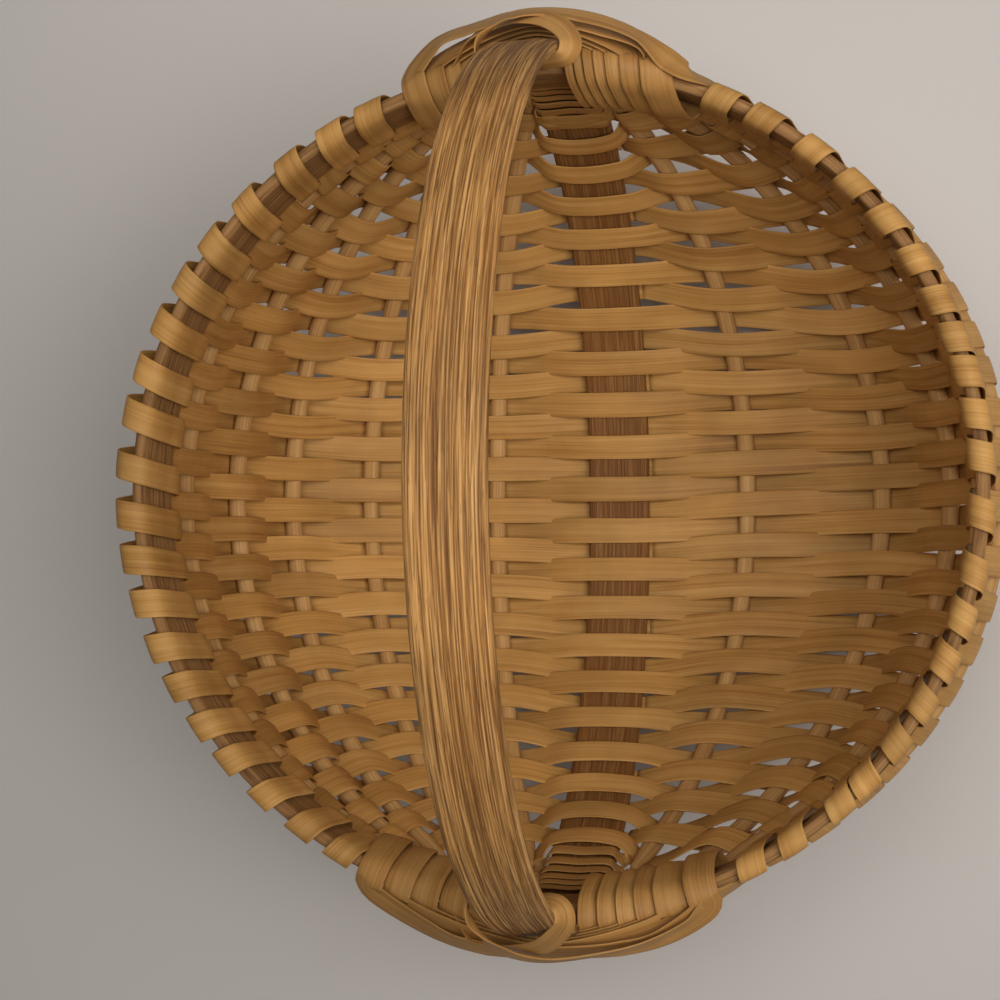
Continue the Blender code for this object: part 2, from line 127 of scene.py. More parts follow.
# Strands across the basket: the right rim, five right ribs, the keel, five left ribs and the left rim
RIGHT_RIM, KEEL, LEFT_RIM = 0, 6, 12
SIDES = np.array([1.0] * 7 + [-1.0] * 6)
UP = np.array([0.0, 0.0, 1.0])


def unit(vectors):
    """Vectors scaled to length one along the last axis."""
    return vectors / np.linalg.norm(vectors, axis=-1, keepdims=True)


def strand_table(rim, ribs, keel):
    """One value per strand, from the right rim over the ribs and the keel to the left rim."""
    return np.concatenate([[rim], ribs[::-1], [keel], ribs, [rim]])


REACHES = strand_table(RIM_REACH - RIM_HALF, RIB_REACH_SHARES * RIM_REACH, 0.0)
DEPTHS = strand_table(0.0, RIB_DEPTH_SHARES * KEEL_DEPTH, KEEL_DEPTH - KEEL_HALF)
LENGTHS = strand_table(RIM_LENGTH - RIM_HALF, RIB_LENGTH_SHARES * HOOP_RADIUS, HOOP_RADIUS - KEEL_HALF)
DROPS = strand_table(0.0, RIB_DROP_SHARES * HOOP_RADIUS, 0.0)
FACINGS = np.radians(strand_table(0.0, RIB_FACINGS, 90.0))
CROSS_SHARES = strand_table(90.0, RIB_CROSS_ANGLES, 0.0) / 90.0
BEND_SHARES = strand_table(0.0, RIB_BEND_SHARES, 0.0)


def strand_point(strand, angle):
    """Centre line of a strand: out by reach times cosine, along by length times sine, down by depth times
    cosine, which is held level in the flat bottom, and by a drop that grows with the sine's fourth power."""
    flat = math.cos(math.radians(FLAT_ANGLE))
    across = SIDES[strand] * REACHES[strand] * np.cos(angle)
    down = DEPTHS[strand] * np.minimum(np.cos(angle), flat) + DROPS[strand] * np.sin(angle) ** 4
    return np.stack([across, LENGTHS[strand] * np.sin(angle), -down], axis=-1)


def strand_along(strand, angle):
    """Direction of a strand towards the back ear, from two points half a row apart."""
    half = math.radians(ROW_STEP) / 2
    return unit(strand_point(strand, angle + half) - strand_point(strand, angle - half))


def strand_outward(strand, angle):
    """Direction out of the basket: the strand's facing, turned with the strand and made square to it."""
    turned = np.where(np.abs(angle) <= math.radians(FLAT_ANGLE), 0.0, angle)
    out = SIDES[strand] * np.cos(FACINGS[strand]) * np.cos(turned)
    facing = np.stack([out, np.sin(turned), -np.sin(FACINGS[strand]) * np.cos(turned)], axis=-1)
    along = strand_along(strand, angle)
    return unit(facing - along * np.sum(facing * along, axis=-1, keepdims=True))


def wavering(values, steps):
    """A smooth random curve: values at even places, joined by half a cosine wave from each to the next."""
    place = np.linspace(0.0, len(values) - 1.0, steps)
    low = np.minimum(place.astype(int), len(values) - 2)
    share = (1.0 - np.cos(math.pi * (place - low))) / 2
    return values[low] * (1.0 - share) + values[low + 1] * share


def curve(points, carried, spacing):
    """A smooth curve through control points: between two of them a cubic whose ends take the weighted mean
    direction of the runs before and after, with what is carried going evenly from one value to the next."""
    points, carried = np.asarray(points, float), np.asarray(carried, float)
    chords = np.linalg.norm(np.diff(points, axis=0), axis=1)
    gaps = np.sqrt(chords)[:, None]
    slopes = np.diff(points, axis=0) / gaps
    middle = (slopes[1:] * gaps[:-1] + slopes[:-1] * gaps[1:]) / (gaps[1:] + gaps[:-1])
    tangents = np.concatenate([slopes[:1], middle, slopes[-1:]])
    counts = np.maximum(2, np.ceil(chords / spacing)).astype(int)
    span = np.repeat(np.arange(len(chords)), counts)
    first = np.repeat(np.cumsum(counts) - counts, counts)
    share = ((np.arange(len(span)) - first) / counts[span])[:, None]
    gap = gaps[span]
    rise = share * share * (3.0 - 2.0 * share)
    start = share * (1.0 - share) ** 2
    stop = share * share * (share - 1.0)
    placed = points[span] * (1.0 - rise) + points[span + 1] * rise
    placed = placed + gap * (tangents[span] * start + tangents[span + 1] * stop)
    held = carried[span] * (1.0 - share) + carried[span + 1] * share
    return np.concatenate([placed, points[-1:]]), np.concatenate([held, carried[-1:]])


# Section of a strip, once round: over its width, and through its thickness, thickest in the middle
SECTION = np.array([
    (1.00, 0.00), (0.985, 0.45), (0.90, 0.66), (0.62, 0.86), (0.22, 0.99), (-0.22, 0.99), (-0.62, 0.86),
    (-0.90, 0.66), (-0.985, 0.45), (-1.00, 0.00), (-0.985, -0.45), (-0.90, -0.66), (-0.62, -0.86),
    (-0.22, -0.99), (0.22, -0.99), (0.62, -0.86), (0.90, -0.66), (0.985, -0.45),
])


def tube(rings, lengths, girths, closed, tone):
    """One closed body skinned over equal rings of points, its ends capped or joined, as a dict of arrays.
    Its map runs in metres: along the body, and round the ring."""
    count, corners = rings.shape[:2]
    rows = np.arange(count if closed else count - 1)[:, None]
    columns = np.arange(corners)[None, :]
    ahead, beside = (rows + 1) % count, (columns + 1) % corners
    quads = np.stack([rows * corners + columns, rows * corners + beside,
                      ahead * corners + beside, ahead * corners + columns], axis=-1).reshape(-1, 4)
    here, there = lengths[rows[:, 0]], lengths[rows[:, 0] + 1]
    along = np.stack([here, here, there, there], axis=-1)
    round_ring = np.stack([girths[:-1], girths[1:], girths[1:], girths[:-1]], axis=-1)
    maps = np.stack([np.repeat(along[:, None], corners, axis=1),
                     np.repeat(round_ring[None], len(rows), axis=0)], axis=-1).reshape(-1, 4, 2)
    body = {"points": rings.reshape(-1, 3), "quads": quads, "maps": maps, "caps": [],
            "tone": np.repeat(tone, corners)}
    if not closed:
        body["caps"] = [np.arange(corners)[::-1], np.arange((count - 1) * corners, count * corners)]
    return body


def strip(path, across, width, thickness, tone=0.0):
    """A flat strip: its lens-like section carried along a path, its width along the given side."""
    tangent = unit(np.gradient(path, axis=0))
    across = unit(across - tangent * np.sum(across * tangent, axis=1, keepdims=True))
    normal = np.cross(tangent, across)
    steps = len(path)
    wide = np.broadcast_to(width, steps)[:, None, None] / 2 * across[:, None] * SECTION[None, :, :1]
    thick = np.broadcast_to(thickness, steps)[:, None, None] / 2 * normal[:, None] * SECTION[None, :, 1:]
    rings = path[:, None] + wide + thick
    lengths = np.concatenate([[0.0], np.cumsum(np.linalg.norm(np.diff(path, axis=0), axis=1))])
    sized = SECTION * np.array([np.mean(width), np.mean(thickness)]) / 2
    edges = np.linalg.norm(np.roll(sized, -1, axis=0) - sized, axis=1)
    girths = np.concatenate([[0.0], np.cumsum(edges)])
    return tube(rings, lengths, girths, False, np.broadcast_to(tone, steps))


# How far along the grain the map of each next body starts, so that no two look alike, in metres
MAP_SHIFT = 0.731


def add_piece(name, bodies, material, nodes, map_shift=0.0):
    """One named piece from its bodies, raised to the rim's level, riding on the root body for its nodes."""
    offsets = np.cumsum([0] + [len(body["points"]) for body in bodies])
    points = np.concatenate([body["points"] for body in bodies]) + np.array([0.0, 0.0, RIM_LEVEL])
    quads = np.concatenate([body["quads"] + start for body, start in zip(bodies, offsets)])
    caps = [cap + start for body, start in zip(bodies, offsets) for cap in body["caps"]]
    corners = np.concatenate([quads.reshape(-1), *caps])
    sizes = np.array([4] * len(quads) + [len(cap) for cap in caps])
    mesh = bpy.data.meshes.new(name)
    mesh.vertices.add(len(points))
    mesh.vertices.foreach_set("co", points.astype(np.float32).reshape(-1))
    mesh.loops.add(len(corners))
    mesh.loops.foreach_set("vertex_index", corners.astype(np.int32))
    mesh.polygons.add(len(sizes))
    mesh.polygons.foreach_set("loop_start", (np.cumsum(sizes) - sizes).astype(np.int32))
    mesh.update(calc_edges=True)
    maps = np.zeros((len(corners), 2))
    shifts = np.repeat(np.arange(len(bodies)), [body["maps"].shape[0] for body in bodies])[:, None]
    laid = np.concatenate([body["maps"] for body in bodies])
    laid[..., 0] += (shifts + map_shift) * MAP_SHIFT
    maps[: laid.shape[0] * 4] = laid.reshape(-1, 2)
    mesh.uv_layers.new(name="grain").data.foreach_set("uv", maps.astype(np.float32).reshape(-1))
    tones = np.concatenate([body["tone"] for body in bodies]).astype(np.float32)
    mesh.attributes.new("tone", "FLOAT", "POINT").data.foreach_set("value", tones)
    mesh.shade_smooth()
    mesh.validate()
    mesh.materials.append(material)
    piece = bpy.data.objects.new(name, mesh)
    bpy.context.scene.collection.objects.link(piece)
    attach(piece, BODY)
    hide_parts(*nodes)
    return piece


# How much all woods mirror the light
SHEEN = 0.16


class Finish:
    """A wood's node tree, with short calls for the nodes that it uses."""

    def __init__(self, name):
        self.material = bpy.data.materials.new(name)
        self.material.use_nodes = True
        self.tree = self.material.node_tree
        self.shader = self.tree.nodes["Principled BSDF"]

    def node(self, kind, inputs=(), **settings):
        made = self.tree.nodes.new(kind)
        for key, value in settings.items():
            setattr(made, key, value)
        for place, value in dict(inputs).items():
            if isinstance(value, bpy.types.NodeSocket):
                self.tree.links.new(value, made.inputs[place])
            else:
                made.inputs[place].default_value = value
        return made

    def math(self, operation, first, second=0.0):
        return self.node("ShaderNodeMath", {0: first, 1: second}, operation=operation).outputs[0]

    def grain_map(self, stretch):
        """The strip's own map, in metres, stretched along the grain and across it."""
        source = self.node("ShaderNodeUVMap", uv_map="grain").outputs[0]
        made = self.node("ShaderNodeVectorMath", {0: source, 1: (*stretch, 0.0)}, operation="MULTIPLY")
        return made.outputs[0]

    def noise(self, vector, scale=1.0, detail=3.0, rough=0.55):
        inputs = {"Vector": vector, "Scale": scale, "Detail": detail, "Roughness": rough}
        return self.node("ShaderNodeTexNoise", inputs).outputs[0]

    def ramp(self, value, stops):
        made = self.node("ShaderNodeValToRGB", {0: value})
        ramp = made.color_ramp
        while len(ramp.elements) < len(stops):
            ramp.elements.new(0.5)
        for element, (place, colour) in zip(ramp.elements, stops):
            element.position = place
            element.color = (*colour, 1.0)
        return made.outputs[0]

    def spreading(self, value, low, high, new_low, new_high):
        inputs = {0: value, 1: low, 2: high, 3: new_low, 4: new_high}
        return self.node("ShaderNodeMapRange", inputs).outputs[0]

    def tint(self, colour, factor, other, blend="MULTIPLY"):
        made = self.node("ShaderNodeMix", data_type="RGBA", blend_type=blend)
        for socket, value in ((made.inputs[0], factor), (made.inputs[6], colour), (made.inputs[7], other)):
            if isinstance(value, bpy.types.NodeSocket):
                self.tree.links.new(value, socket)
            else:
                socket.default_value = value
        return made.outputs[2]

    def attribute(self, name):
        return self.node("ShaderNodeAttribute", attribute_name=name).outputs["Fac"]

    def place(self):
        return self.node("ShaderNodeTexCoord").outputs["Object"]

    def finish(self, colour, roughness, height, bump, distance):
        self.tree.links.new(colour, self.shader.inputs["Base Color"])
        if isinstance(roughness, bpy.types.NodeSocket):
            self.tree.links.new(roughness, self.shader.inputs["Roughness"])
        else:
            self.shader.inputs["Roughness"].default_value = roughness
        made = self.node("ShaderNodeBump", {"Strength": bump, "Distance": distance, "Height": height})
        self.tree.links.new(made.outputs[0], self.shader.inputs["Normal"])
        self.shader.inputs["Specular IOR Level"].default_value = SHEEN
        return self.material


def splint_finish(name, light, mid, dark):
    """Flat splint: fine lines along its length, broader pale and brown streaks, and a slow drift in tone."""
    wood = Finish(name)
    fine = wood.noise(wood.grain_map((22.0, 1500.0)), detail=4.0)
    streak = wood.noise(wood.grain_map((5.0, 330.0)), detail=3.0)
    blotch = wood.noise(wood.place(), scale=38.0, detail=3.0)
    drift = wood.noise(wood.grain_map((9.0, 60.0)), detail=2.0)
    mixed = wood.math("ADD", wood.math("MULTIPLY", fine, 0.38), wood.math("MULTIPLY", streak, 0.40))
    mixed = wood.math("ADD", mixed, wood.math("MULTIPLY", drift, 0.22))
    colour = wood.ramp(mixed, [(0.30, dark), (0.47, mid), (0.66, light)])
    shade = wood.spreading(blotch, 0.35, 0.70, 0.86, 1.08)
    toned = wood.math("ADD", shade, wood.math("MULTIPLY", wood.attribute("tone"), 0.10))
    grey = wood.node("ShaderNodeCombineColor", {0: toned, 1: toned, 2: toned}).outputs[0]
    colour = wood.tint(colour, 1.0, grey)
    rough = wood.spreading(streak, 0.3, 0.7, 0.42, 0.62)
    return wood.finish(colour, rough, fine, 0.32, 0.25 * MM)


def reed_finish():
    """Round reed: close pale lines along it and a few darker stretches."""
    wood = Finish("round_reed")
    fine = wood.noise(wood.grain_map((14.0, 1300.0)), detail=4.0)
    patch = wood.noise(wood.place(), scale=30.0, detail=3.0)
    mixed = wood.math("ADD", wood.math("MULTIPLY", fine, 0.6), wood.math("MULTIPLY", patch, 0.4))
    dark, mid, light = (0.33, 0.160, 0.052), (0.51, 0.280, 0.100), (0.63, 0.385, 0.155)
    colour = wood.ramp(mixed, [(0.32, dark), (0.50, mid), (0.68, light)])
    return wood.finish(colour, 0.68, fine, 0.30, 0.25 * MM)


def oak_finish(name, light, mid, dark, groove_grain_and_shade):
    """Split oak: pale raised grain between open grooves, whose depth the mesh carries as its tone; the
    grooves are darkened partly in the open grain's own colour and partly as painted shade in the cracks.
    Below the rim's level it darkens towards a dark brown, painted shade on the keel down inside the basket."""
    wood = Finish(name)
    line = wood.noise(wood.grain_map((15.0, 950.0)), detail=5.0, rough=0.65)
    band = wood.noise(wood.grain_map((2.2, 260.0)), detail=3.0)
    fleck = wood.noise(wood.grain_map((120.0, 1700.0)), detail=2.0)
    mixed = wood.math("ADD", wood.math("MULTIPLY", line, 0.76), wood.math("MULTIPLY", band, 0.24))
    colour = wood.ramp(mixed, [(0.38, dark), (0.49, mid), (0.60, light)])
    pores = wood.spreading(fleck, 0.60, 0.70, 0.0, 0.55)
    colour = wood.tint(colour, pores, (*groove_grain_and_shade, 1.0), "MIX")
    # Partly painted shade: the deeper the groove cut into the mesh, the more the colour goes to the groove
    # colour, for the shade in the cracks as well as the open grain's own dark
    depth = wood.spreading(wood.attribute("tone"), 0.0, 1.0, 0.0, 0.92)
    colour = wood.tint(colour, depth, (*groove_grain_and_shade, 1.0), "MIX")
    stain = wood.spreading(wood.noise(wood.place(), scale=16.0, detail=4.0), 0.38, 0.68, 0.84, 1.10)
    grey = wood.node("ShaderNodeCombineColor", {0: stain, 1: stain, 2: stain}).outputs[0]
    colour = wood.tint(colour, 1.0, grey)
    height = wood.node("ShaderNodeSeparateXYZ", {0: wood.place()}).outputs[2]
    # Painted shade: going down from the rim's level the oak is mixed towards a dark brown, standing in for
    # the shade on the keel inside the basket
    painted_shade_below_rim = wood.spreading(height, RIM_LEVEL - 0.2 * KEEL_DEPTH, RIM_LEVEL, 0.74, 0.0)
    colour = wood.tint(colour, painted_shade_below_rim, (0.165, 0.060, 0.014, 1.0), "MIX")
    return wood.finish(colour, wood.spreading(band, 0.3, 0.7, 0.50, 0.72), line, 0.55, 0.35 * MM)


def grooves(across, turns, count, seed, depth):
    """Depth of the open grain, up to the given one: each groove is a soft notch across the strip that wanders
    slowly round the hoop and fades in and out along it; where two meet the deeper one counts."""
    draw = np.random.default_rng(seed)
    deepest = np.zeros((len(turns), len(across)))
    for _ in range(count):
        centre = draw.uniform(-1.0, 1.0)
        wander = 0.05 * np.sin(turns * draw.integers(1, 4) + draw.uniform(0.0, 6.3))
        wander += 0.012 * np.sin(turns * draw.integers(7, 15) + draw.uniform(0.0, 6.3))
        half = draw.uniform(0.011, 0.021)
        fade = 0.5 + 0.5 * np.sin(turns * draw.integers(7, 26) + draw.uniform(0.0, 6.3))
        notch = np.exp(-(((across[None, :] - (centre + wander)[:, None]) / half) ** 2))
        cut = notch * (draw.uniform(0.45, 1.0) * np.clip(3.0 * fade - 1.3, 0.0, 1.0))[:, None]
        deepest = np.maximum(deepest, cut)
    return deepest * depth


def hoop_section(columns):
    """Once round an eased strip's section, as shares of half thickness and half width: out, then over."""
    over = np.linspace(-1.0, 1.0, columns)
    ease = 1.0 - 0.55 * np.clip((np.abs(over) - 0.86) / 0.14, 0.0, 1.0) ** 2
    face = np.stack([ease, over], axis=1)
    back = np.stack([-ease, -over], axis=1)
    return np.concatenate([face, back])


def oak_hoop(centre, out, side, half_thickness, half_width, columns, groove_count, seed, groove_depth, crown):
    """A bent oak strip: its eased section carried round the closed centre line, slightly crowned, with the
    open grain cut into both faces."""
    steps = len(centre)
    turns = np.linspace(0.0, 2.0 * math.pi, steps, endpoint=False)
    section = hoop_section(columns)
    cut_front = grooves(section[:columns, 1], turns, groove_count, seed, 1.0)
    cut_back = grooves(section[columns:, 1], turns, groove_count, seed + 1, 1.0)
    cut = np.concatenate([cut_front, cut_back], axis=1)
    level = section[None, :, 0] * half_thickness
    level = level + np.sign(level) * (crown * (1.0 - section[None, :, 1] ** 2) - cut * groove_depth)
    rings = centre[:, None] + out[:, None] * level[..., None]
    rings = rings + side[:, None] * (section[None, :, 1] * half_width)[..., None]
    gaps = np.linalg.norm(np.roll(centre, -1, axis=0) - centre, axis=1)
    lengths = np.concatenate([[0.0], np.cumsum(gaps)])
    sized = section * np.array([half_thickness, half_width])
    girths = np.concatenate([[0.0], np.cumsum(np.linalg.norm(np.roll(sized, -1, axis=0) - sized, axis=1))])
    body = tube(rings, lengths, girths, True, np.zeros(steps))
    body["tone"] = cut.reshape(-1)
    return body


def make_handle(material):
    """The tall hoop: a circle above the rim, a shallower arc with a level stretch below it."""
    steps = 400
    turns = np.linspace(0.0, 2.0 * math.pi, steps, endpoint=False)
    radius, depth = HOOP_RADIUS - KEEL_HALF, KEEL_DEPTH - KEEL_HALF
    flat = math.cos(math.radians(FLAT_ANGLE))
    rises = np.sin(turns)
    heights = np.where(rises > 0.0, radius * rises, -depth * np.minimum(-rises, flat))
    centre = np.stack([0.0 * turns, radius * np.cos(turns), heights], axis=1)
    ahead = unit(np.roll(centre, -1, axis=0) - np.roll(centre, 1, axis=0))
    side = np.broadcast_to(np.array([1.0, 0.0, 0.0]), centre.shape)
    out = np.cross(ahead, side)
    body = oak_hoop(centre, out, -side, KEEL_HALF - 0.2 * MM, HOOP_WIDTH / 2, columns=124, groove_count=120,
                    seed=5, groove_depth=0.36 * MM, crown=0.25 * MM)
    add_piece("oak_handle_and_keel", [body], material, ["handle_hoop"])


def make_rim(material):
    """The level hoop: an ellipse a little shorter than it is wide, its strip standing on edge and leaning out
    a little on the left."""
    steps = 420
    turns = np.linspace(0.0, 2.0 * math.pi, steps, endpoint=False)
    reach, length = REACHES[RIGHT_RIM], LENGTHS[RIGHT_RIM]
    centre = np.stack([reach * np.cos(turns), length * np.sin(turns), 0.0 * turns], axis=1)
    ahead = unit(np.roll(centre, -1, axis=0) - np.roll(centre, 1, axis=0))
    level = np.cross(ahead, np.broadcast_to(UP, centre.shape))
    lean = RIM_LEAN * np.clip(-np.cos(turns), 0.0, 1.0)[:, None] ** 2
    up, out = unit(UP + level * lean), unit(level - UP * lean)
    body = oak_hoop(centre, out, -up, RIM_HALF - 0.15 * MM, RIM_HEIGHT / 2, columns=54, groove_count=30,
                    seed=23, groove_depth=0.35 * MM, crown=0.15 * MM)
    add_piece("oak_rim", [body], material, ["rim_hoop"])


def rib_radius(angles):
    """A rib's radius: whole along the rib, and falling evenly to the tip's over the last degrees."""
    to_tip = np.minimum(angles - math.radians(RIB_ENDS[0]), math.radians(RIB_ENDS[1]) - angles)
    share = np.clip(to_tip / math.radians(RIB_TAPER), 0.0, 1.0)
    return RIB_TIP_RADIUS + (RIB_RADIUS - RIB_TIP_RADIUS) * share


def make_ribs(material):
    """Round ribs: circles carried along each strand's centre line, a little uneven, thinner at both tips."""
    draw = np.random.default_rng(41)
    steps, sides = 150, 14
    ends = np.radians(RIB_ENDS)
    angles = np.linspace(ends[0], ends[1], steps)
    turns = np.linspace(0.0, 2.0 * math.pi, sides, endpoint=False)
    for strand in [1, 2, 3, 4, 5, 7, 8, 9, 10, 11]:
        number = 6 - strand if strand < KEEL else strand - 6
        centre = strand_point(strand, angles)
        radii = rib_radius(angles) * (1.0 + RIB_UNEVEN * wavering(draw.uniform(-1.0, 1.0, 24), steps))
        out, along = strand_outward(strand, angles), strand_along(strand, angles)
        beside = np.cross(along, out)
        ring = np.cos(turns)[None, :, None] * out[:, None] + np.sin(turns)[None, :, None] * beside[:, None]
        rings = centre[:, None] + radii[:, None, None] * ring
        lengths = np.concatenate([[0.0], np.cumsum(np.linalg.norm(np.diff(centre, axis=0), axis=1))])
        girths = np.linspace(0.0, 2.0 * math.pi * RIB_RADIUS, sides + 1)
        body = tube(rings, lengths, girths, False, np.full(steps, draw.uniform(-1.0, 1.0)))
        name = f"rib_{'right' if strand < KEEL else 'left'}_{number}"
        add_piece(f"reed_{name}", [body], material, [name], strand)


def row_angles():
    """Angle of every row at every strand: at the keel and both rims from the tables, between them in
    proportion to how far round the basket's belly the strand lies, and with the bend near the ears."""
    rows = np.arange(ROW_COUNT)
    keel = np.interp(rows, np.arange(1, ROW_COUNT, 2), KEEL_ROWS)
    keel[0], keel[-1] = KEEL_ROWS[0] + ROW_STEP, KEEL_ROWS[-1] - ROW_STEP
    half = ROW_STEP / 2
    right, left = np.zeros(ROW_COUNT), np.zeros(ROW_COUNT)
    right[0::2] = np.array(RIGHT_TURNS) + half
    right[1::2] = np.array(RIGHT_TURNS)[:-1] - half
    left[1::2] = np.array(LEFT_TURNS) + half
    left[2::2] = np.array(LEFT_TURNS) - half
    left[0] = LEFT_TURNS[0] + 1.5 * ROW_STEP
    rims = np.where(np.arange(13)[None, :] < KEEL, right[:, None], left[:, None])
    bend = ROW_BEND * np.clip((np.abs(keel) - BEND_START) / BEND_OVER, 0.0, 1.0) ** BEND_POWER * np.sign(keel)
    straight = keel[:, None] * (1.0 - CROSS_SHARES) + rims * CROSS_SHARES
    return np.radians(straight + bend[:, None] * BEND_SHARES)


def row_controls(angles, row):
    """A row from the last right rib to the last left one: a point on the inner or outer side of each rib, and
    two level points past the keel. Each carries the way of the row's width, and a factor on it."""
    ribs = np.arange(1, 12)
    angle = angles[row, ribs]
    centre, out, along = strand_point(ribs, angle), strand_outward(ribs, angle), strand_along(ribs, angle)
    half = np.where(ribs == KEEL, KEEL_HALF, rib_radius(angle))
    away = np.where((ribs + row) % 2 == 0, -1.0, 1.0)
    points = centre + out * (away * (half + LAY + SPLINT_THICKNESS / 2))[:, None]
    travel = unit(np.cross(out[KEEL - 1], along[KEEL - 1])) * (HOOP_WIDTH / 2 + KEEL_ROOM)
    keel = points[KEEL - 1]
    sides = np.stack([keel + travel, keel - travel])
    sides = sides[np.argsort(-sides[:, 0])]
    path = np.concatenate([points[: KEEL - 1], sides, points[KEEL:]])
    wide = np.concatenate([along[: KEEL - 1], along[[KEEL - 1, KEEL - 1]], along[KEEL:]])
    near = np.clip((abs(math.degrees(angle[KEEL - 1])) - SPREAD_START) / SPREAD_OVER, 0.0, 1.0)
    spreads = np.full(len(wide), WIDER_AT_RIBS)
    spreads[[KEEL - 2, KEEL + 1]] = WIDER_AT_FIRST_RIB
    spreads[[KEEL - 1, KEEL]] = -NARROWER_AT_KEEL
    return path, np.column_stack([wide, 1.0 + near * spreads])


def rim_turn(strand, start, stop):
    """A turn round the rim from its inner foot over the top to its outer foot, drifting along the rim."""
    angles = np.linspace(start, stop, len(TURN_SHARES))
    strands = np.full(len(TURN_SHARES), strand)
    centre, out = strand_point(strands, angles), strand_outward(strands, angles)
    up = TURN_SHARES[:, 2] * RIM_HEIGHT
    if strand == LEFT_RIM:
        loose = np.cos(angles) ** 4
        off = (TURN_SHARES[:, 0] * (1.0 - loose) + TURN_SHARES[:, 1] * loose) * RIM_HEIGHT
        off = off + up * RIM_LEAN * np.cos(angles) ** 2
    else:
        off = TURN_SHARES[:, 0] * RIM_HEIGHT
    wide = np.column_stack([strand_along(strands, angles), np.ones(len(strands))])
    return centre + out * off[:, None] + UP * up[:, None], wide


def weave(angles):
    """The whole weaving path as control points, row after row with the turns round the rims between them, and
    the place in it where each weaver ends, on the keel."""
    paths, wides, ends, count = [], [], [], 0
    for row in range(ROW_COUNT):
        path, wide = row_controls(angles, row)
        leftwards = row % 2 == 1
        if not leftwards:
            path, wide = path[::-1], wide[::-1]
        if row % ROWS_PER_WEAVER == ROWS_PER_WEAVER - 1 and row < ROW_COUNT - 1:
            ends.append(count + len(path) // 2)
        paths.append(path)
        wides.append(wide)
        count += len(path)
        rim = LEFT_RIM if leftwards else RIGHT_RIM
        if row == ROW_COUNT - 1:
            end = 2.0 * math.radians(RIGHT_TURNS[-1]) - angles[row, rim]
            path, wide = rim_turn(rim, angles[row, rim], end)
            return np.concatenate([*paths, path]), np.concatenate([*wides, wide]), ends
        if leftwards:
            path, wide = rim_turn(rim, angles[row + 1, rim], angles[row, rim])
            path, wide = path[::-1], wide[::-1]
        else:
            path, wide = rim_turn(rim, angles[row, rim], angles[row + 1, rim])
        paths.append(path)
        wides.append(wide)
        count += len(path)


def make_weavers(material, angles):
    """The weavers: strips a few rows long, each ending at the keel where the next begins, a little uneven in
    width and tone."""
    draw = np.random.default_rng(12)
    path, wide, ends = weave(angles)
    starts, stops = [0, *ends], [*ends, len(path)]
    for number, (start, stop) in enumerate(zip(starts, stops), start=1):
        held = slice(max(0, start - 1), stop)
        points, across = curve(path[held], wide[held], STEP_ALONG)
        steps = len(points)
        uneven = SPLINT_UNEVEN * wavering(draw.uniform(-1.0, 1.0, 60), steps)
        width = SPLINT_WIDTH * across[:, 3] * (1.0 + uneven)
        tone = wavering(draw.uniform(-1.0, 1.0, 24), steps) + draw.uniform(-0.6, 0.6)
        body = strip(points, across[:, :3], width, SPLINT_THICKNESS, tone)
        name = f"weaver_{number:02d}"
        add_piece(f"splint_{name}", [body], material, [name], number)


def rim_place(end, offset, out, up):
    """A place near the rim by the ear: offset degrees along the rim from the handle, right positive, then out
    from the rim strip's middle and up. Gives the point, the rim's way outward and the way off the handle."""
    strand = RIGHT_RIM if offset > 0.0 else LEFT_RIM
    angle = np.array(end * math.radians(90.0 - abs(offset)))
    outward = strand_outward(strand, angle)
    away = -end * strand_along(strand, angle)
    return strand_point(strand, angle) + outward * out + UP * up, outward, away


def between(share, ends):
    """The value that lies this share of the way from the first end to the second."""
    return ends[0] + (ends[1] - ends[0]) * share


def crossing_place(end, across, height, off):
    """A place outside the ear: across from the handle's middle line, above the rim's level, and off the
    circle of the handle's outer face."""
    return np.array([across, end * (math.sqrt(HOOP_RADIUS**2 - height**2) + off), height])


# Ears: a turn is WIDER_THAN_STEP times as wide as the step to the next one, within EAR_WIDTHS, and SIDE_WIDTH
# where it leaves the keel; inside the keel a row is KEEL_ROW_COVER times as wide as its step
EAR_THICKNESS = 1.0 * MM
EAR_WIDTHS = (6.2 * MM, 11.0 * MM)
WIDER_THAN_STEP = 1.4
SIDE_WIDTH = 6.6 * MM
KEEL_ROW_COVER = 0.84
KEEL_ROW_LEAN = -0.14
KEEL_ROW_OFF = 1.3 * MM
KEEL_ROW_PAST = 1.1 * MM
SIDE_OFF = 1.0 * MM
STRAP_WIDTH = 9.2 * MM
EAR_STEP_ALONG = 0.6 * STEP_ALONG

# Each turn drifts this many degrees towards the handle on its way up, and at the back right it drifts this
# much more, from the first turn to the last
EAR_DRIFT = 1.2
BACK_RIGHT_DRIFT = (2.0, 4.2)

# Where the turns cross outside the handle, from the first to the last: height above the rim and distance off
# the handle's outer face, in millimetres, and how much wider they are there than the narrowest turn
CROSSING_HEIGHTS = (13.0, 25.0)
CROSSING_OFFS = {"back": (0.8, 8.0), "front": (0.8, 5.2)}
CROSSING_WIDER = 2.2 * MM
LATE_POWER = 1.3

# Lashing of each ear, turn by turn from the handle out: angle of its row inside the keel, and how many
# degrees from the handle it goes round the right rim and round the left rim
EAR_TURNS = {
    "back": ((81.0, 5.5, 4.6), (79.2, 6.9, 6.4), (77.2, 8.3, 8.3), (75.0, 9.9, 10.3), (72.7, 11.9, 12.3),
             (70.7, 14.4, 14.8), (68.7, 17.5, 17.6)),
    "front": ((77.8, 6.6, 5.2), (75.8, 9.2, 9.0), (73.8, 11.8, 12.7), (71.4, 14.4, 16.8), (68.9, 17.3, 20.6),
              (65.9, 21.6, 24.6)),
}

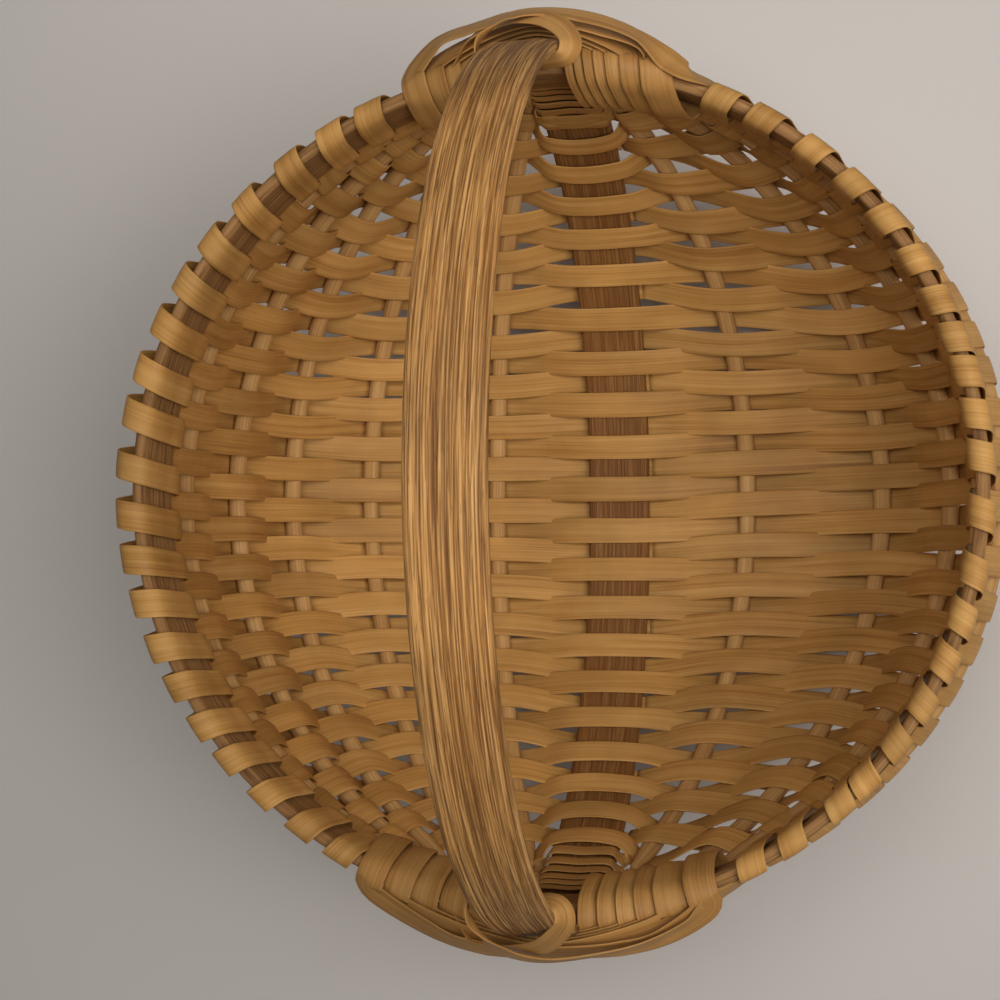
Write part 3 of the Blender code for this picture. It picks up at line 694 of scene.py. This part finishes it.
# A turn round the rim by the ear, from the outer foot under the edge, up inside and over the top, as shares
# of the rim height: out from the middle of the rim strip and up, and the way it faces, out and up
EAR_TURN = (
    (0.150, -0.440, 0.9, -0.5), (-0.060, -0.640, 0.0, -1.0), (-0.290, -0.520, -0.9, -0.5),
    (-0.330, -0.200, -1.0, 0.1), (-0.250, 0.220, -1.0, 0.3), (-0.100, 0.530, -0.5, 0.85),
    (0.130, 0.600, 0.15, 1.0), (0.270, 0.500, 0.6, 0.75),
)

# Loose runs of each ear's last turn, right and left: places outside the ear in millimetres, across, above the
# rim, and off the handle's outer face
LOOSE_RUNS = {
    "back": (((35.0, 15.0, -1.5), (22.0, 19.0, 3.2)),
             ((-35.0, 14.0, 2.6), (-23.0, 18.0, 5.8), (-11.0, 23.0, 8.0))),
    "front": (((40.0, 14.0, -0.5), (26.0, 18.0, 3.4)),
              ((-36.0, 14.0, 1.2), (-21.0, 19.0, 4.6))),
}

# Crossed strips over the ears. Each hugs the rim first: degrees from the handle, then out and up as shares of
# the rim height. Then come places as above, each with the way it faces, across, out and up, and its width
STRAP_RUNS = {
    ("back", "right"): (((26.0, 0.15, 0.00), (22.6, 0.15, 0.26), (19.6, 0.15, 0.58)), (
        (43.9, 14.0, -7.8, 0.2, 0.4, 0.90, 9.0), (34.7, 20.0, 0.2, 0.1, 0.8, 0.60, 9.0),
        (25.6, 24.0, 4.6, 0.0, 0.8, 0.60, 9.2), (15.1, 27.0, 7.6, 0.0, 0.8, 0.60, 9.2),
        (5.5, 30.0, 9.2, 0.0, 0.85, 0.50, 9.2), (-2.6, 33.0, 9.0, -0.1, 0.85, 0.5, 9.0),
        (-7.0, 36.0, 7.6, -0.3, 0.75, 0.6, 8.6), (-11.0, 42.0, 4.1, -0.7, 0.5, 0.5, 8.4),
        (-14.2, 48.0, -1.0, -1.0, 0.0, 0.2, 8.4), (-12.6, 49.0, -5.8, -0.6, -0.8, 0.1, 8.0),
        (-5.0, 47.0, -6.6, 0.0, -1.0, -0.2, 7.5))),
    ("back", "left"): (((-20.0, 0.14, 0.05), (-15.0, 0.16, 0.28), (-11.5, 0.24, 0.46)), (
        (-21.0, 21.0, 3.4, 0.0, 0.8, 0.6, 8.5), (-11.0, 26.0, 6.2, 0.0, 0.8, 0.6, 8.5),
        (-3.4, 30.0, 7.6, 0.05, 0.75, 0.6, 8.4), (6.1, 35.0, 6.8, 0.15, 0.55, 0.8, 8.2),
        (13.4, 40.0, 3.0, 0.35, 0.3, 0.85, 8.2), (16.6, 44.0, -1.8, 0.5, 0.0, 0.8, 8.0),
        (15.0, 44.0, -5.8, 0.4, -0.6, 0.7, 7.4), (8.2, 41.0, -7.4, 0.0, -0.9, 0.45, 6.8),
        (-2.0, 37.0, -7.2, 0.0, -1.0, 0.2, 6.4))),
    ("front", "right"): (((28.5, 0.15, -0.05), (25.5, 0.17, 0.15), (22.0, 0.22, 0.42)), (
        (49.3, 13.0, -6.0, 0.2, 0.9, 0.4, 9.0), (33.5, 20.0, 1.8, 0.1, 0.95, 0.33, 9.2),
        (17.8, 27.0, 5.8, 0.0, 0.95, 0.33, 9.2), (4.0, 34.0, 7.9, 0.0, 0.95, 0.33, 9.2),
        (-4.8, 40.0, 7.0, -0.1, 0.95, 0.4, 9.0), (-9.6, 48.0, 4.8, -0.35, 0.75, 0.5, 8.6),
        (-13.4, 58.0, 1.4, -0.8, 0.35, 0.4, 8.2), (-14.6, 66.0, -2.0, -1.0, 0.0, 0.1, 8.2),
        (-12.6, 67.0, -6.2, -0.5, -0.8, 0.0, 8.0), (-5.0, 64.0, -6.8, 0.0, -1.0, -0.2, 7.5))),
    ("front", "left"): (((-28.0, 0.14, 0.00), (-20.0, 0.17, 0.20), (-12.5, 0.24, 0.44)), (
        (-22.0, 20.0, 2.8, 0.0, 0.95, 0.35, 8.5), (-13.0, 27.0, 3.8, 0.0, 0.95, 0.4, 8.5),
        (-6.0, 34.0, 4.4, 0.1, 0.8, 0.5, 8.4), (2.4, 42.0, 4.6, 0.2, 0.5, 0.8, 8.2),
        (10.0, 50.0, 2.2, 0.35, 0.3, 0.85, 8.0), (15.0, 56.0, -2.6, 0.5, 0.0, 0.8, 7.6),
        (13.6, 57.0, -7.0, 0.4, -0.5, 0.75, 7.2), (7.6, 55.0, -9.0, 0.0, -0.8, 0.6, 6.8),
        (-1.0, 51.0, -7.6, 0.0, -1.0, 0.3, 6.4))),
}
LASHING_TONE = 0.2
STRAP_TONES = {"left": 0.4, "right": -0.1}


def lay_strip(controls, tone):
    """A strip through control points, each with the way it faces and its width there: the width lies square
    to the run and to that way."""
    points = [place for place, _, _ in controls]
    carried = [[*unit(facing), width] for _, facing, width in controls]
    points, carried = curve(points, carried, EAR_STEP_ALONG)
    tangent = unit(np.gradient(points, axis=0))
    return strip(points, np.cross(carried[:, :3], tangent), carried[:, 3], EAR_THICKNESS, tone)


def keel_row(end, angle, width):
    """Over the inner face of the keel from its left edge to its right edge, one edge of the strip raised."""
    angle = np.array(end * math.radians(angle))
    outward, up_keel = strand_outward(KEEL, angle), end * strand_along(KEEL, angle)
    middle, half = strand_point(KEEL, angle), HOOP_WIDTH / 2
    controls = []
    for across, depth, sideways in (
        (-1.0, 0.35, -1.5), (-0.86, 1.0, -0.45), (0.0, 1.0, 0.0), (0.86, 1.0, 0.45), (1.0, 0.35, 1.5),
    ):
        inward = -outward * (KEEL_HALF + KEEL_ROW_OFF) * depth
        place = middle + inward + np.array([across * (half + KEEL_ROW_PAST), 0.0, 0.0])
        facing = -outward + up_keel * KEEL_ROW_LEAN + np.array([sideways, 0.0, 0.0])
        controls.append((place, facing, width))
    return controls


def ear_side(end, side, keel_angle, offset, lean, width, drift):
    """From the keel's edge over the outside of the ribs to the rim, round under it, up its inner face and
    over its top, drifting towards the handle on the way up."""
    rim_angle = 90.0 - offset
    controls = []
    for number in (1, 3, 5):
        strand = KEEL - number if side > 0.0 else KEEL + number
        share = number / KEEL
        angle = np.array(end * math.radians(keel_angle * (1.0 - share) + rim_angle * share))
        outward = strand_outward(strand, angle)
        place = strand_point(strand, angle) + outward * (RIB_TIP_RADIUS + SIDE_OFF)
        facing = outward + strand_along(strand, angle) * end * lean
        controls.append((place, facing, SIDE_WIDTH * (1.0 - share) + width * share))
    for number, (out, up, faces_out, faces_up) in enumerate(EAR_TURN):
        nearer = drift * (number / (len(EAR_TURN) - 1) - 0.5)
        place, rim_outward, away = rim_place(end, side * (offset - nearer), out * RIM_HEIGHT, up * RIM_HEIGHT)
        controls.append((place, rim_outward * faces_out + UP * faces_up + away * lean, width))
    return controls


def make_ear_wrap(end, name, material):
    """The lashing of one ear, turn beside turn: inside over the keel, up outside to the right rim and round
    it, over the outer face of the handle, round the left rim and down outside to the keel again."""
    turns = EAR_TURNS[name]
    steps = np.radians(np.gradient(np.array(turns), axis=0))
    controls = []
    for number, (keel_angle, right, left) in enumerate(turns):
        late = number / (len(turns) - 1)
        keel_turn, right_turn, left_turn = steps[number]
        controls += keel_row(end, keel_angle, KEEL_ROW_COVER * abs(keel_turn) * LENGTHS[KEEL])
        for side, offset, turn in ((1.0, right, right_turn), (-1.0, left, left_turn)):
            step = turn * REACHES[RIGHT_RIM]
            width = min(max(WIDER_THAN_STEP * step, EAR_WIDTHS[0]), EAR_WIDTHS[1])
            drift = EAR_DRIFT
            if end > 0.0 and side > 0.0:
                drift += between(late, BACK_RIGHT_DRIFT)
            half = ear_side(end, side, keel_angle, offset, 2.0 * EAR_THICKNESS / step, width, drift)
            loose = LOOSE_RUNS[name][0 if side > 0.0 else 1] if number == len(turns) - 1 else ()
            for across, height, off in loose:
                place = crossing_place(end, across * MM, height * MM, off * MM)
                half.append((place, np.array([0.0, end * 0.8, 0.60]), EAR_WIDTHS[1]))
            if side > 0.0:
                controls += half
                height = between(late**LATE_POWER, CROSSING_HEIGHTS)
                off = between(late**LATE_POWER, CROSSING_OFFS[name])
                middle = crossing_place(end, 0.0, height * MM, off * MM)
                facing = np.array([0.0, end * 0.8, 0.55])
                controls.append((middle, facing, EAR_WIDTHS[0] + CROSSING_WIDER * late))
            else:
                controls += half[::-1] if number < len(turns) - 1 else half[:1:-1]
    add_piece(f"ear_lashing_{name}", [lay_strip(controls, LASHING_TONE)], material, [f"ear_wrap_{name}"],
              3.0 + end)


def make_ear_straps(end, name, material):
    """The two strips that cross over the ear: each from outside one rim slants up over the outer face of the
    handle, goes round its far edge and is tucked in behind it."""
    for side_name, tone in STRAP_TONES.items():
        rim_run, run = STRAP_RUNS[name, side_name]
        controls = []
        for offset, out, up in rim_run:
            place, outward, _ = rim_place(end, offset, out * RIM_HEIGHT, up * RIM_HEIGHT)
            controls.append((place, outward * 0.8 + UP * (0.2 + up), STRAP_WIDTH))
        for across, height, off, faces_across, faces_out, faces_up, width in run:
            facing = np.array([faces_across, end * faces_out, faces_up])
            controls.append((crossing_place(end, across * MM, height * MM, off * MM), facing, width * MM))
        add_piece(f"ear_straps_{name}_{side_name}", [lay_strip(controls, tone)], material,
                  [f"ear_strap_{name}_{side_name}"], 11.0 + end)


# Stage: floor, sky and lamps, each lamp with its place, what it points at, its size in metres, its power in
# watts and its beam in degrees
FLOOR_COLOUR = (0.62, 0.585, 0.555, 1.0)
SKY_COLOUR = (1.0, 0.985, 0.965, 1.0)
SKY_STRENGTH = 0.16
LAMP_COLOUR = (1.0, 0.975, 0.94)
LAMPS = (
    ("window", (0.62, -0.04, 1.10), (0.0, 0.04, 0.0), 0.7, 5.1, 140.0),
    ("ceiling", (0.02, 0.24, 1.25), (0.0, 0.17, 0.0), 0.5, 0.55, 52.0),
)


def make_stage():
    """A plain pale floor and soft light from above."""
    mesh = bpy.data.meshes.new("floor")
    half = 40.0 * HOOP_RADIUS
    corners = [(-half, -half, 0.0), (half, -half, 0.0), (half, half, 0.0), (-half, half, 0.0)]
    mesh.from_pydata(corners, [], [(0, 1, 2, 3)])
    floor = bpy.data.objects.new("floor", mesh)
    bpy.context.scene.collection.objects.link(floor)
    pale = bpy.data.materials.new("pale_floor")
    pale.use_nodes = True
    shader = pale.node_tree.nodes["Principled BSDF"]
    shader.inputs["Base Color"].default_value = FLOOR_COLOUR
    shader.inputs["Roughness"].default_value = 0.9
    shader.inputs["Specular IOR Level"].default_value = 0.1
    mesh.materials.append(pale)
    world = bpy.data.worlds.new("soft_room")
    world.use_nodes = True
    world.node_tree.nodes["Background"].inputs[0].default_value = SKY_COLOUR
    world.node_tree.nodes["Background"].inputs[1].default_value = SKY_STRENGTH
    bpy.context.scene.world = world
    for name, place, target, size, power, beam in LAMPS:
        lamp = bpy.data.lights.new(name, "AREA")
        lamp.size = size
        lamp.energy = power
        lamp.spread = math.radians(beam)
        lamp.color = LAMP_COLOUR
        held = bpy.data.objects.new(name, lamp)
        bpy.context.scene.collection.objects.link(held)
        back = unit(np.array(place) - np.array(target))
        right = unit(np.cross(np.array([0.0, 1.0, 0.0]), back))
        up = np.cross(back, right)
        held.matrix_world = Matrix([[right[i], up[i], back[i], place[i]] for i in range(3)] + [[0, 0, 0, 1]])


# Camera: fitted to the two hoops, its place in hoop radii from the middle of the rim
CAMERA_SHARES = np.array([0.9682, -0.1181, 4.8438])
CAMERA_TURNS = (0.0174, 0.2205, -0.0063)
FOCAL_SHARE = 2.17194
SENSOR = 36.0


def make_camera():
    """The camera of the photograph: turned about X, then Y, then Z."""
    x, y, z = CAMERA_TURNS
    about_x = np.array([[1, 0, 0], [0, math.cos(x), -math.sin(x)], [0, math.sin(x), math.cos(x)]])
    about_y = np.array([[math.cos(y), 0, math.sin(y)], [0, 1, 0], [-math.sin(y), 0, math.cos(y)]])
    about_z = np.array([[math.cos(z), -math.sin(z), 0], [math.sin(z), math.cos(z), 0], [0, 0, 1]])
    turned = about_z @ about_y @ about_x
    place = CAMERA_SHARES * HOOP_RADIUS + np.array([0.0, 0.0, RIM_LEVEL])
    data = bpy.data.cameras.new("camera")
    data.sensor_width = SENSOR
    data.lens = SENSOR * FOCAL_SHARE
    camera = bpy.data.objects.new("camera", data)
    bpy.context.scene.collection.objects.link(camera)
    camera.matrix_world = Matrix([[*turned[i], place[i]] for i in range(3)] + [[0, 0, 0, 1]])
    bpy.context.scene.camera = camera


# Colours from light to dark, and for oak of its open grooves: the open grain's own dark, also used as painted
# shade down the grooves
SPLINT_COLOURS = ((0.63, 0.360, 0.120), (0.48, 0.242, 0.065), (0.28, 0.120, 0.028))
LASHING_COLOURS = ((0.55, 0.310, 0.105), (0.42, 0.210, 0.060), (0.24, 0.102, 0.026))
HANDLE_COLOURS = ((0.68, 0.385, 0.142), (0.50, 0.250, 0.076), (0.27, 0.112, 0.028), (0.09, 0.032, 0.008))
RIM_COLOURS = ((0.38, 0.205, 0.078), (0.30, 0.150, 0.053), (0.21, 0.098, 0.033), (0.11, 0.047, 0.016))


def main():
    scene = bpy.context.scene
    scene.view_settings.view_transform = "Standard"
    make_camera()
    make_stage()
    splint = splint_finish("flat_splint", *SPLINT_COLOURS)
    lashing = splint_finish("lashing_splint", *LASHING_COLOURS)
    make_handle(oak_finish("split_oak", *HANDLE_COLOURS))
    make_rim(oak_finish("rim_oak", *RIM_COLOURS))
    make_ribs(reed_finish())
    make_weavers(splint, row_angles())
    for end, name in ((1.0, "back"), (-1.0, "front")):
        make_ear_wrap(end, name, lashing)
        make_ear_straps(end, name, lashing)


main()
